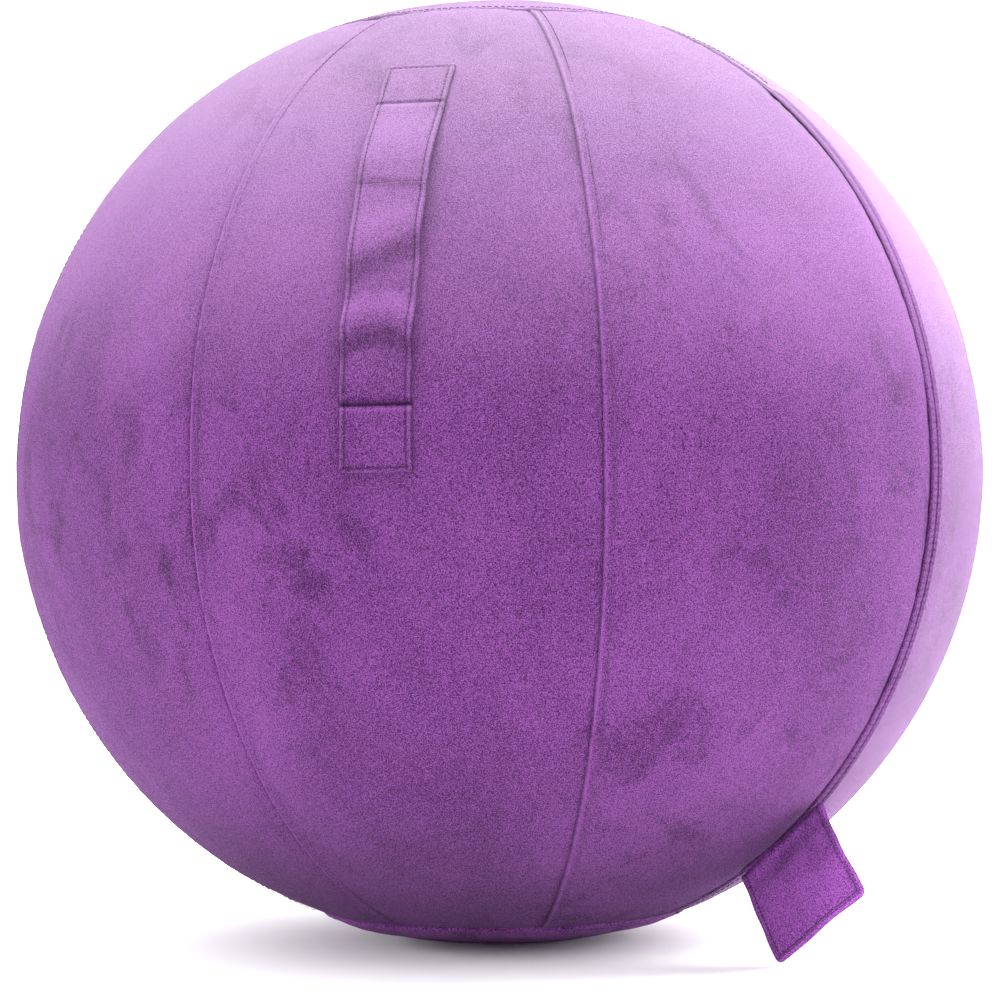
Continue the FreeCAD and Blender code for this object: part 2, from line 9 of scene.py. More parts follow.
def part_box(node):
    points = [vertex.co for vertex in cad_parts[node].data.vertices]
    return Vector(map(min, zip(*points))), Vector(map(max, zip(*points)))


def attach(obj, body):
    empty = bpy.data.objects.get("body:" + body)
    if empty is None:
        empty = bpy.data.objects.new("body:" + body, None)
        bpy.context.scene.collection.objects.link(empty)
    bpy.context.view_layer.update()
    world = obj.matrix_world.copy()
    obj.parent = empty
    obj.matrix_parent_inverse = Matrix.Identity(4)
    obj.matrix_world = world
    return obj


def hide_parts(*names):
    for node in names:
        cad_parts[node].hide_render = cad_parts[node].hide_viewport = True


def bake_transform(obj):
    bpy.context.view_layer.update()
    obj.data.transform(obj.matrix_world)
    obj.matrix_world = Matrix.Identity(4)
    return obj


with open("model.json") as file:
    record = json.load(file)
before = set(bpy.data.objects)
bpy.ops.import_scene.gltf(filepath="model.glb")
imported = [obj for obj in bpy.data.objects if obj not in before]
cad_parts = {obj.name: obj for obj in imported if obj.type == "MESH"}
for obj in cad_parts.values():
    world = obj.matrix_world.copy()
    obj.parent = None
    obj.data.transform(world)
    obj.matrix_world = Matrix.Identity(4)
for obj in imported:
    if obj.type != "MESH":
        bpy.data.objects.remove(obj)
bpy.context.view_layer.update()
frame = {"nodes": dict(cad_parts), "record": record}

# A sitting ball in a padded velvet cover. Lengths are metres, angles are degrees. Azimuth runs from -Y
# towards +X, and elevation is the angle above the horizontal about the centre of each seam's arc.

MM = 0.001
JOINTS = {joint["name"]: joint for joint in frame["record"]["behaviour"]["joints"]}


def low_of(node):
    """The low corner of a CAD piece's box."""
    return Vector(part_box(node)[0])


def high_of(node):
    """The high corner of a CAD piece's box."""
    return Vector(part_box(node)[1])


# ---- the ball's shape: the frame's values, and the part's own dimensions that the frame doesn't hold ----

ZIP_PLACE = Vector(JOINTS["zip_slide"]["pos_m"])
ARC_OFFSET = math.hypot(ZIP_PLACE.x, ZIP_PLACE.y)
ARC_HEIGHT = ZIP_PLACE.z
ARC_RADIUS = high_of("gore_2").x - ARC_OFFSET
ZIP_AZIMUTH = math.degrees(math.atan2(ZIP_PLACE.x, -ZIP_PLACE.y))
PANELS = 8
ZIP_PANEL = 2
PANEL_ANGLE = 360.0 / PANELS
TOP_EDGE = 68.4
BASE_EDGE = -68.8
COVER_THICK = 6 * MM
ZIP_LOW, ZIP_HIGH = -54.9, 48.9
SLIT_HALF = 0.8 * MM
LIP_WIDTH = 6.8 * MM
DEGREES_PER_METRE = math.degrees(1 / ARC_RADIUS)
FLOOR_SOFTNESS = 2 * MM


def meridian(elevation, lift=0.0):
    """Distance from the axis, and height, of points lifted off the cover, from arrays of elevations."""
    elevation = np.asarray(elevation, float)
    turn = np.radians(elevation)
    on_top = elevation > TOP_EDGE
    below = elevation < BASE_EDGE
    edge = np.radians(np.where(on_top, TOP_EDGE, -BASE_EDGE))
    on_cap = on_top | below
    centre_out = np.where(on_cap, 0.0, ARC_OFFSET)
    shift = np.where(on_cap, ARC_OFFSET * np.tan(edge), 0.0)
    centre_up = ARC_HEIGHT - np.where(below, -shift, shift)
    radius = ARC_RADIUS + np.where(on_cap, ARC_OFFSET / np.cos(edge), 0.0) + lift
    return centre_out + radius * np.cos(turn), centre_up + radius * np.sin(turn)


def on_cover(azimuth, elevation, lift=0.0, across=0.0):
    """Points of the cover, lifted off it, and moved sideways along a straight line."""
    out, up = meridian(elevation, lift)
    a = np.radians(azimuth)
    x = out * np.sin(a) + across * np.cos(a)
    y = -out * np.cos(a) + across * np.sin(a)
    return np.stack(np.broadcast_arrays(x, y, up), axis=-1)


def normal_at(azimuth, elevation):
    """The direction straight out of the cover."""
    a, e = math.radians(azimuth), math.radians(elevation)
    return Vector((math.sin(a) * math.cos(e), -math.cos(a) * math.cos(e), math.sin(e)))


def smooth(t):
    """A smooth step from 0 to 1 as t goes from 0 to 1."""
    t = np.clip(t, 0, 1)
    return t * t * (3 - 2 * t)


def bell(x, width):
    """A bump that is 1 at x = 0 and almost nothing beyond two widths."""
    return np.exp(-((x / width) ** 2))


def soft_noise(points, size, seed):
    """Smooth noise, from about -1 to 1, at each of an array of points."""
    flat = points.reshape(-1, 3) / size + seed * 17.3
    return np.array([noise.noise(p) for p in flat]).reshape(points.shape[:-1]) * 2


def settle(points):
    """The cover flattened where it rests on the floor."""
    z = points[..., 2]
    points[..., 2] = 0.5 * (z + np.sqrt(z * z + FLOOR_SOFTNESS**2))
    return points


# ---- the camera, the stage and the lights ----

CAMERA_AZIMUTH = -10.69
CAMERA_ELEVATION = -1.73
CAMERA_DISTANCE = 1.965
CAMERA_LENS = 103.5
SENSOR = 36.0
CAMERA_ROLL = -0.67
SHIFT_RIGHT, SHIFT_UP = 0.0007, -0.0276
CLIP_NEAR, CLIP_FAR = 0.05, 50

FLOOR_REACH = 12.0
FLOOR_WHITE = (0.93, 0.93, 0.93)
SKY_STOPS = ((0.0, (0.7, 0.7, 0.7)), (0.75, (1.0, 1.0, 1.0)))
SKY_STRENGTH = 2.25

# Each light: its name, azimuth, elevation, distance, width and height, and power.
LIGHTS = (
    ("key_above", 60, 84, 1.7, (1.7, 1.3), 165),
    ("rim_right", 98, 14, 1.7, (0.9, 1.6), 75),
    ("rim_left", -112, 0, 1.6, (0.5, 0.5), 18),
)


def add_camera():
    """A camera on the photo's line of sight, fitted to its outline and seams."""
    data = bpy.data.cameras.new("camera")
    camera = bpy.data.objects.new("camera", data)
    bpy.context.collection.objects.link(camera)
    back = normal_at(CAMERA_AZIMUTH, CAMERA_ELEVATION)
    camera.location = Vector((0, 0, ARC_HEIGHT)) + back * CAMERA_DISTANCE
    level = (-back).to_track_quat("-Z", "Y").to_matrix()
    roll = Matrix.Rotation(math.radians(CAMERA_ROLL), 3, "Z")
    camera.rotation_euler = (level @ roll).to_euler()
    data.lens = CAMERA_LENS
    data.sensor_width = SENSOR
    data.shift_x, data.shift_y = SHIFT_RIGHT, SHIFT_UP
    data.clip_start, data.clip_end = CLIP_NEAR, CLIP_FAR
    bpy.context.scene.camera = camera


def add_light(name, azimuth, elevation, distance, size, power):
    """A soft rectangular light that faces the ball."""
    data = bpy.data.lights.new(name, "AREA")
    data.shape = "RECTANGLE"
    data.size, data.size_y = size
    data.energy = power
    light = bpy.data.objects.new(name, data)
    bpy.context.collection.objects.link(light)
    back = normal_at(azimuth, elevation)
    light.location = Vector((0, 0, ARC_HEIGHT)) + back * distance
    light.rotation_euler = back.to_track_quat("Z", "Y").to_euler()


def add_stage():
    """A white floor, a sky that is a little darker near the horizon, and three soft lights."""
    floor_mesh = bpy.data.meshes.new("floor")
    corners = [(x * FLOOR_REACH, y * FLOOR_REACH, 0) for x, y in ((-1, -1), (1, -1), (1, 1), (-1, 1))]
    floor_mesh.from_pydata(corners, [], [(0, 1, 2, 3)])
    floor = bpy.data.objects.new("floor", floor_mesh)
    bpy.context.collection.objects.link(floor)
    floor_mesh.materials.append(plain_material("floor_white", FLOOR_WHITE, CLOTH_ROUGHNESS))
    world = bpy.data.worlds.new("studio")
    bpy.context.scene.world = world
    world.use_nodes = True
    tree = world.node_tree
    background = tree.nodes["Background"]
    direction = tree.nodes.new("ShaderNodeTexCoord").outputs["Generated"]
    parts = tree.nodes.new("ShaderNodeSeparateXYZ")
    tree.links.new(direction, parts.inputs["Vector"])
    sky = ramp_of(tree, parts.outputs["Z"], SKY_STOPS)
    tree.links.new(sky, background.inputs["Color"])
    background.inputs["Strength"].default_value = SKY_STRENGTH
    for light in LIGHTS:
        add_light(*light)
    bpy.context.scene.view_settings.view_transform = "Standard"


# ---- materials ----

CLOTH_ROUGHNESS = 0.9
SEAM_THREAD = (0.050, 0.012, 0.066)
DARK_THREAD = (0.022, 0.006, 0.030)
PALE_THREAD = (0.13, 0.050, 0.165)

# The velvet's colours, from deep in the pile to brushed tips, each with its place on the textures' scale.
VELVET_TONES = (
    (0.05, (0.018, 0.004, 0.025)),
    (0.38, (0.044, 0.0089, 0.058)),
    (0.64, (0.074, 0.0170, 0.097)),
    (1.0, (0.150, 0.045, 0.188)),
)
VELVET_MIDDLE = 0.65
PATCH_DEPTH = 1.0
GRAIN_DEPTH = 5.4
STROKE_EDGES = (0.50, 0.66)
STROKE_PLACES = (0.44, 0.62)
STROKE_DEPTHS = (0.03, 0.29)

# Painted light from above: two paler tones that the velvet turns to with height: from and to which height,
# by how much, and the tone. The second one starts from the share of painted paleness that a material is given.
LOW_PAINTED_LIGHT = (0.33, 0.46, 0.42, (0.19, 0.092, 0.222))
HIGH_PAINTED_LIGHT = (0.42, 0.60, 0.26, (0.125, 0.145, 0.120))
PAINTED_LIGHT_GRAIN, PAINTED_LIGHT_BASE = 0.6, 0.62

VELVET_ROUGHNESS = 0.92
VELVET_SPECULAR = 0.06
SHEEN = 0.08
SHEEN_ROUGHNESS = 0.2
SHEEN_TINT = (0.95, 0.78, 1.0)
PILE_BUMP = 0.9
PILE_BUMP_DISTANCE = 0.0010


def node_of(tree, kind, **inputs):
    """A shader node with some of its inputs set; a name's underscores stand for spaces."""
    made = tree.nodes.new(kind)
    for name, value in inputs.items():
        made.inputs[name.replace("_", " ")].default_value = value
    return made


def plain_material(name, colour, roughness, metallic=0.0):
    """A plain shader, for thread, plastic, enamel and what is hidden inside."""
    material = bpy.data.materials.new(name)
    material.use_nodes = True
    shader = material.node_tree.nodes["Principled BSDF"]
    shader.inputs["Base Color"].default_value = (*colour, 1)
    shader.inputs["Roughness"].default_value = roughness
    shader.inputs["Metallic"].default_value = metallic
    return material


def ramp_of(tree, source, stops):
    """A colour ramp over a value; stops holds each stop's place and colour."""
    ramp = tree.nodes.new("ShaderNodeValToRGB")
    elements = ramp.color_ramp.elements
    while len(elements) < len(stops):
        elements.new(0.5)
    for element, (place, colour) in zip(elements, stops):
        element.position = place
        element.color = (*colour, 1)
    tree.links.new(source, ramp.inputs["Fac"])
    return ramp.outputs["Color"]


def math_of(tree, operation, first, second):
    """A maths node on two values, each a socket or a number."""
    made = tree.nodes.new("ShaderNodeMath")
    made.operation = operation
    for socket, value in zip(made.inputs, (first, second)):
        if isinstance(value, (int, float)):
            socket.default_value = value
        else:
            tree.links.new(value, socket)
    return made.outputs[0]


def spread_of(tree, source, low, high, to_low=0.0, to_high=1.0):
    """A smooth step of a value from one range to another."""
    made = tree.nodes.new("ShaderNodeMapRange")
    made.interpolation_type = "SMOOTHSTEP"
    tree.links.new(source, made.inputs["Value"])
    for name, value in (("From Min", low), ("From Max", high), ("To Min", to_low), ("To Max", to_high)):
        made.inputs[name].default_value = value
    return made.outputs["Result"]


def velvet_textures(tree, place):
    """The velvet's noises: broad patches, darker strokes and where they lie, pile tufts and a finer grain."""
    drawn = tree.nodes.new("ShaderNodeMapping")
    drawn.inputs["Scale"].default_value = (1.0, 1.0, 0.6)
    tree.links.new(place, drawn.inputs["Vector"])
    patches = node_of(tree, "ShaderNodeTexNoise", Scale=8.0, Detail=5.0, Roughness=0.62, Distortion=0.3)
    strokes = node_of(tree, "ShaderNodeTexNoise", Scale=26.0, Detail=5.0, Roughness=0.66, Distortion=0.7)
    where = node_of(tree, "ShaderNodeTexNoise", Scale=5.5, Detail=1.0, Roughness=0.5)
    tufts = node_of(tree, "ShaderNodeTexNoise", Scale=1500.0, Detail=2.0, Roughness=0.8)
    fine = node_of(tree, "ShaderNodeTexNoise", Scale=2600.0, Detail=1.0, Roughness=0.6)
    for texture in (patches, strokes, where):
        tree.links.new(drawn.outputs["Vector"], texture.inputs["Vector"])
    for texture in (tufts, fine):
        tree.links.new(place, texture.inputs["Vector"])
    return [texture.outputs["Fac"] for texture in (patches, strokes, where, tufts, fine)]


def painted_light_with_height(tree, height, colour, lightness, band, start=0.0):
    """Painted light from above: a paler tone mixed in over a band of heights, more where the velvet is
    lighter.
    """
    low, high, rise, tone = band
    paler = tree.nodes.new("ShaderNodeMix")
    paler.data_type = "RGBA"
    first, second = (socket for socket in paler.inputs if socket.type == "RGBA")
    amount = spread_of(tree, height, low, high, start, start + rise)
    tree.links.new(math_of(tree, "MULTIPLY", amount, lightness), paler.inputs["Factor"])
    tree.links.new(colour, first)
    second.default_value = (*tone, 1)
    return next(socket for socket in paler.outputs if socket.type == "RGBA")


def velvet(name="velvet", shade=1.0, painted_pale=0.0, sheen=SHEEN):
    """Short-pile velvet: brushed patches, a few darker strokes and a fine grain of tufts, and painted light
    from above that makes it paler with height.

    shade makes lighter copies, with painted light, and darker copies, with painted shade. A mesh attribute
    adds painted light and shade to the textures at seams, hems, creases and folds, with a few random flecks."""
    material = bpy.data.materials.new(name)
    material.use_nodes = True
    tree = material.node_tree
    shader = tree.nodes["Principled BSDF"]
    place = tree.nodes.new("ShaderNodeTexCoord").outputs["Object"]
    patches, strokes, where, tufts, fine = velvet_textures(tree, place)
    pile_and_painted_light = tree.nodes.new("ShaderNodeAttribute")
    pile_and_painted_light.attribute_name = "pile_and_painted_light"
    stroke = spread_of(tree, strokes, *STROKE_EDGES)
    stroke = math_of(tree, "MULTIPLY", stroke, spread_of(tree, where, *STROKE_PLACES, *STROKE_DEPTHS))
    tone_offset = math_of(tree, "MULTIPLY", math_of(tree, "SUBTRACT", patches, 0.5), PATCH_DEPTH)
    grain = math_of(tree, "MULTIPLY", math_of(tree, "SUBTRACT", tufts, 0.5), GRAIN_DEPTH)
    grain = math_of(tree, "ADD", grain, VELVET_MIDDLE)
    mixed = math_of(tree, "ADD", math_of(tree, "SUBTRACT", tone_offset, stroke), grain)
    mixed = math_of(tree, "ADD", mixed, pile_and_painted_light.outputs["Fac"])
    stops = [(stop, tuple(part * shade for part in tone)) for stop, tone in VELVET_TONES]
    colour = ramp_of(tree, mixed, stops)
    lightness = math_of(tree, "ADD", math_of(tree, "MULTIPLY", mixed, PAINTED_LIGHT_GRAIN), PAINTED_LIGHT_BASE)
    height = tree.nodes.new("ShaderNodeSeparateXYZ")
    tree.links.new(place, height.inputs["Vector"])
    colour = painted_light_with_height(tree, height.outputs["Z"], colour, lightness, LOW_PAINTED_LIGHT)
    colour = painted_light_with_height(tree, height.outputs["Z"], colour, lightness, HIGH_PAINTED_LIGHT, painted_pale)
    tree.links.new(colour, shader.inputs["Base Color"])
    shader.inputs["Roughness"].default_value = VELVET_ROUGHNESS
    shader.inputs["Specular IOR Level"].default_value = VELVET_SPECULAR
    shader.inputs["Sheen Weight"].default_value = sheen
    shader.inputs["Sheen Roughness"].default_value = SHEEN_ROUGHNESS
    shader.inputs["Sheen Tint"].default_value = (*SHEEN_TINT, 1)
    tips = math_of(tree, "ADD", tufts, math_of(tree, "MULTIPLY", fine, 0.5))
    bump = node_of(tree, "ShaderNodeBump", Strength=PILE_BUMP, Distance=PILE_BUMP_DISTANCE)
    tree.links.new(tips, bump.inputs["Height"])
    tree.links.new(bump.outputs["Normal"], shader.inputs["Normal"])
    return material


# ---- meshes ----

def add_piece(name, vertices, faces, material, body="cover", slot="velvet", pile_and_painted_light=None):
    """A closed mesh as one piece; its optional per-vertex values add painted light and shade to its velvet."""
    mesh = bpy.data.meshes.new(name)
    mesh.from_pydata([tuple(v) for v in vertices], [], faces)
    mesh.validate()
    if pile_and_painted_light is not None:
        tone_offset = mesh.attributes.new("pile_and_painted_light", "FLOAT", "POINT")
        tone_offset.data.foreach_set("value", np.tile(pile_and_painted_light.ravel(), 2))
    mesh.polygons.foreach_set("use_smooth", [True] * len(mesh.polygons))
    mesh.materials.append(material)
    piece = bpy.data.objects.new(name, mesh)
    bpy.context.collection.objects.link(piece)
    if body:
        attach(piece, body)
    return piece


def grid_faces(rows, columns, start=0, flip=False):
    """The faces of a grid of vertices that begin at start."""
    faces = []
    for i in range(rows - 1):
        for j in range(columns - 1):
            a = start + i * columns + j
            face = (a, a + 1, a + columns + 1, a + columns)
            faces.append(face[::-1] if flip else face)
    return faces


def rim_of(rows, columns):
    """The grid's border, once round."""
    bottom = list(range(columns))
    right = [i * columns + columns - 1 for i in range(1, rows)]
    top = [(rows - 1) * columns + j for j in range(columns - 2, -1, -1)]
    left = [i * columns for i in range(rows - 2, 0, -1)]
    return bottom + right + top + left


def sheet_solid(front, back):
    """Vertices and faces of a closed sheet between two grids of points."""
    rows, columns = front.shape[:2]
    count = rows * columns
    vertices = np.concatenate([front.reshape(-1, 3), back.reshape(-1, 3)])
    faces = grid_faces(rows, columns) + grid_faces(rows, columns, count, flip=True)
    rim = rim_of(rows, columns)
    for a, b in zip(rim, rim[1:] + rim[:1]):
        faces.append((b, a, a + count, b + count))
    return vertices, faces


def bar_faces(rings, sides, start=0):
    """The faces of a closed bar through rings of vertices that begin at start."""
    faces = []
    for r in range(rings - 1):
        for k in range(sides):
            a, b = start + r * sides + k, start + r * sides + (k + 1) % sides
            faces.append((a, b, b + sides, a + sides))
    faces.append(tuple(start + k for k in range(sides - 1, -1, -1)))
    faces.append(tuple(start + (rings - 1) * sides + k for k in range(sides)))
    return faces


def swept(rows):
    """Vertices and faces of a closed bar through a list of rings."""
    return [point for ring in rows for point in ring], bar_faces(len(rows), len(rows[0]))


# ---- stitches ----

THREAD_SIDES = 6
THREAD_PROFILE = ((0.0, -1.3), (0.14, 0.15), (0.5, 0.75), (0.86, 0.15), (1.0, -1.3))
STITCH_LENGTH, STITCH_GAP, THREAD_RADIUS = 3.0 * MM, 1.2 * MM, 0.32 * MM
FINE_THREAD_RADIUS = 0.26 * MM


def rounded_thread(start, end, up, radius):
    """The rings of one stitch: a thread that dips into the cloth at both ends."""
    along = end - start
    side = up.cross(along).normalized()
    rings = []
    for share, rise in THREAD_PROFILE:
        middle = start + along * share + up * (rise * radius)
        ring = []
        for k in range(THREAD_SIDES):
            turn = math.tau * k / THREAD_SIDES
            ring.append(middle + side * (math.cos(turn) * radius) + up * (math.sin(turn) * radius))
        rings.append(ring)
    return rings


def stitches(
    name, line, material, body="cover", length=STITCH_LENGTH, gap=STITCH_GAP, radius=THREAD_RADIUS
):
    """A row of stitches along a line, which holds points and the cloth's normal at each."""
    points = [Vector(p) for p, _ in line]
    normals = [Vector(n) for _, n in line]
    reach = [0.0]
    for a, b in zip(points, points[1:]):
        reach.append(reach[-1] + (b - a).length)

    def at(distance):
        k = min(max(np.searchsorted(reach, distance) - 1, 0), len(points) - 2)
        share = (distance - reach[k]) / max(reach[k + 1] - reach[k], 1e-9)
        return points[k].lerp(points[k + 1], share), normals[k]

    vertices, faces = [], []
    distance = gap
    while distance + length < reach[-1]:
        (start, up), (end, _) = at(distance), at(distance + length)
        faces += bar_faces(len(THREAD_PROFILE), THREAD_SIDES, len(vertices))
        for ring in rounded_thread(start, end, up, radius):
            vertices += ring
        distance += length + gap
    return add_piece(name, vertices, faces, material, body)


# ---- the cover's panels ----

SEAM_DEPTH = 0.55 * MM
SEAM_FLAT_REACH = 3.0 * MM
SEAM_DIP, SEAM_DIP_REACH = 0.7 * MM, 10 * MM
RIDGE_HEIGHT = 0.3 * MM
RIDGE_WIDTH = 7.0 * MM
RIDGE_STITCH = 0.9 * MM
FOLD_RISE = 0.8 * MM
FOLD_FALL = 1.8 * MM
EDGE_UNDERLAP = 0.6 * MM
FUZZ_HEIGHT, FUZZ_PLACE, FUZZ_WIDTH = 0.4 * MM, 1.3 * MM, 1.0 * MM
FUZZ_DIP, FUZZ_DIP_PLACE, FUZZ_DIP_WIDTH = 0.25 * MM, 3.2 * MM, 0.7 * MM
STITCH_GROOVE, STITCH_GROOVE_WIDTH = 0.35 * MM, 0.75 * MM
PUCKER_HEIGHT = 0.20 * MM
PUCKER_PITCH = 15 * MM
PUCKER_REACH = 15 * MM
PUCKER_WANDER, PUCKER_WANDER_SIZE = 6, 0.05
PUCKER_STRENGTH_SIZE = 0.09
BASE_PUCKERS, TOP_PUCKERS, ROUND_PUCKERS = 2.6, 1.4, 2.2
END_SEAM_RADIUS = 0.12
CROWN = 1.1 * MM
SWELLS = ((0.7 * MM, 0.10, 3), (0.22 * MM, 0.034, 4))
COVER_INSIDE = 0.4 * MM - COVER_THICK
SEAM_SIDE_ROWS = 12
PANEL_ROWS = 190
PANEL_COLUMNS = 30
LEFT_COLUMNS, LEFT_REACH = 18, 20 * MM
RIGHT_COLUMNS, RIGHT_REACH = 12, 18 * MM
END_REACH = 18 * MM
SEAM_ROW_LOW, SEAM_ROW_HIGH = BASE_EDGE + 1.3, TOP_EDGE - 0.4


def seam_fold(distance):
    """The turned-under edge of a piece along its seam, over its seam allowance, with its stitch groove."""
    rise = smooth(distance / FOLD_RISE)
    fall = 1 - smooth((distance - RIDGE_WIDTH + EDGE_UNDERLAP) / FOLD_FALL)
    fuzz = FUZZ_HEIGHT * bell(distance - FUZZ_PLACE, FUZZ_WIDTH)
    fuzz -= FUZZ_DIP * bell(distance - FUZZ_DIP_PLACE, FUZZ_DIP_WIDTH)
    groove = STITCH_GROOVE * bell(distance - RIDGE_WIDTH + RIDGE_STITCH, STITCH_GROOVE_WIDTH)
    return (RIDGE_HEIGHT * fall + fuzz) * rise - SEAM_DEPTH * (1 - rise) - groove


def seam_side(distance):
    """The flat side of a seam: the cloth dips into it, and stays a little lower for some way."""
    drawn_in = SEAM_DEPTH * (1 - smooth(distance / SEAM_FLAT_REACH))
    return -drawn_in - SEAM_DIP * bell(distance, SEAM_DIP_REACH)


def steps_from_edge(count, reach):
    """Distances from an edge, close together near it."""
    return reach * np.linspace(0, 1, count) ** 1.7


def in_zip(elevation):
    """1 where the zip parts the seam at its azimuth, and 0 beyond its ends."""
    return smooth((elevation - ZIP_LOW + 2) / 3) * smooth((ZIP_HIGH + 2 - elevation) / 3)


def row_elevations(low, high, count):
    """The elevations of a panel's rows, close together near its ends."""
    ends = steps_from_edge(SEAM_SIDE_ROWS, END_REACH) * DEGREES_PER_METRE
    middle = np.linspace(low + ends[-1], high - ends[-1], count)
    return np.concatenate([low + ends[:-1], middle, high - ends[-2::-1]])


def drag_lines(along, distance, seed):
    """Small puckers that run away from a seam's stitches; along and distance are metres."""
    wander = np.array([noise.noise((x / PUCKER_WANDER_SIZE, seed * 5.1, 0.0)) for x in along.ravel()])
    strength = np.array([noise.noise((x / PUCKER_STRENGTH_SIZE, seed * 3.7, 4.0)) for x in along.ravel()])
    waves = np.sin(math.tau * along / PUCKER_PITCH + PUCKER_WANDER * wander.reshape(along.shape))
    fade = (0.7 + 0.9 * strength.reshape(along.shape)) * np.exp(-distance / PUCKER_REACH)
    return PUCKER_HEIGHT * waves * fade


def along_end_seam(azimuth):
    """How far round the top or base seam an azimuth lies, in metres."""
    return azimuth / 360 * math.tau * END_SEAM_RADIUS


def seam_azimuth(number):
    """The azimuth of a panel's left seam; the second panel's is the zip's."""
    return ZIP_AZIMUTH if number == ZIP_PANEL else PANEL_ANGLE * (number - 1)


def panel_grid(number, rows):
    """Where a panel's vertices lie: their azimuth, elevation, and distance from its left and right edges.

    The edges are cut back where the zip parts them."""
    start, finish = seam_azimuth(number), seam_azimuth(number + 1)
    out = meridian(rows)[0]
    zipped = in_zip(rows) * (SLIT_HALF + LIP_WIDTH - EDGE_UNDERLAP)
    left_cut = zipped if start == ZIP_AZIMUTH else 0 * zipped
    right_cut = zipped if finish == ZIP_AZIMUTH else 0 * zipped
    width = out * math.radians(finish - start) - left_cut - right_cut
    left = steps_from_edge(LEFT_COLUMNS, LEFT_REACH)[None, :]
    right = steps_from_edge(RIGHT_COLUMNS, RIGHT_REACH)[None, ::-1]
    share = np.linspace(0, 1, PANEL_COLUMNS)[None, 1:-1]
    middle = left[:, -1:] + share * (width - left[:, -1:] - right[:, :1])
    from_left = np.concatenate([np.repeat(left, len(rows), 0), middle, width - right], axis=1)
    azimuth = start + np.degrees((left_cut + from_left) / out)
    return azimuth, np.repeat(rows, from_left.shape[1], 1), from_left, width - from_left


def panel_pile_and_painted_light(outside, from_left, from_right, from_base, from_top, open_left):
    """Painted highlight on the fold by the left seam, painted shade in seams and stitch grooves, random
    flecks.
    """
    flecks = np.array([noise.noise(Vector(p) * 300) for p in outside[:, 0]])[:, None]
    pile_and_painted_light = (0.46 + 0.5 * flecks) * bell(from_left - 1.2 * MM, 0.8 * MM) * (1 - open_left)
    pile_and_painted_light -= 0.12 * (1 - smooth(from_left / (0.6 * MM))) + 0.10 * bell(from_left - 6.2 * MM, 1.0 * MM)
    pile_and_painted_light -= (0.16 + 0.2 * np.roll(flecks, 9)) * bell(from_right, 2.4 * MM)
    return pile_and_painted_light - (0.4 * bell(from_base, 1.5 * MM) + 0.4 * bell(from_top, 1.5 * MM))


def panel(number, material):
    """One panel, crowned between its seams and drawn in at them."""
    rows = row_elevations(BASE_EDGE, TOP_EDGE, PANEL_ROWS)[:, None]
    azimuth, elevation, from_left, from_right = panel_grid(number, rows)
    from_base = (elevation - BASE_EDGE) / DEGREES_PER_METRE
    from_top = (TOP_EDGE - elevation) / DEGREES_PER_METRE
    open_left = in_zip(elevation) * (number == ZIP_PANEL)
    lift = seam_fold(from_left) * (1 - open_left) + seam_side(from_left) * open_left + seam_side(from_right)
    lift += seam_side(from_base) + seam_side(from_top)
    lift += CROWN * (1 - (2 * from_left / (from_left + from_right) - 1) ** 2) * smooth(from_base / 0.1)
    up_seam = np.radians(elevation) * ARC_RADIUS
    lift += drag_lines(up_seam, from_left, number)
    lift += drag_lines(up_seam + 0.3, from_right, number % PANELS + 1)
    around = along_end_seam(azimuth)
    lift += BASE_PUCKERS * drag_lines(around, from_base, 11)
    lift += TOP_PUCKERS * drag_lines(around, from_top, 12)
    points = on_cover(azimuth, elevation)
    lift += sum(height * soft_noise(points, size, seed) for height, size, seed in SWELLS)
    outside = settle(on_cover(azimuth, elevation, lift))
    inside = on_cover(azimuth, elevation, COVER_INSIDE)
    pile_and_painted_light = panel_pile_and_painted_light(outside, from_left, from_right, from_base, from_top, open_left)
    piece = add_piece(f"panel_{number}", *sheet_solid(outside, inside), material, pile_and_painted_light=pile_and_painted_light)
    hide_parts(f"gore_{number}")


def round_solid(outside, inside, outside_middle, inside_middle):
    """A closed round piece between two polar grids, whose last ring is next to the middle."""
    rings, columns = outside.shape[:2]
    count = rings * columns
    middles = [outside_middle, inside_middle]
    vertices = np.concatenate([outside.reshape(-1, 3), inside.reshape(-1, 3), middles])
    faces = []
    for r in range(rings - 1):
        for c in range(columns):
            n = (c + 1) % columns
            a, b = r * columns + c, r * columns + n
            faces.append((a, b, b + columns, a + columns))
            faces.append((a + columns + count, b + columns + count, b + count, a + count))
    last = (rings - 1) * columns
    for c in range(columns):
        n = (c + 1) % columns
        faces.append((last + c, last + n, 2 * count))
        faces.append((last + n + count, last + c + count, 2 * count + 1))
        faces.append((n, c, c + count, n + count))
    return vertices, faces


ROUND_EDGE_ROWS, ROUND_EDGE_REACH = 16, 16 * MM
ROUND_ROWS, ROUND_COLUMNS = 22, 192
FROM_POLE = 0.8
BASE_BULGE, BULGE_PLACE, BULGE_WIDTH = 1.8 * MM, 15 * MM, 12 * MM
ROUND_SWELL = 0.6 * MM
BASE_UNDERSIDE = 1.6 * MM


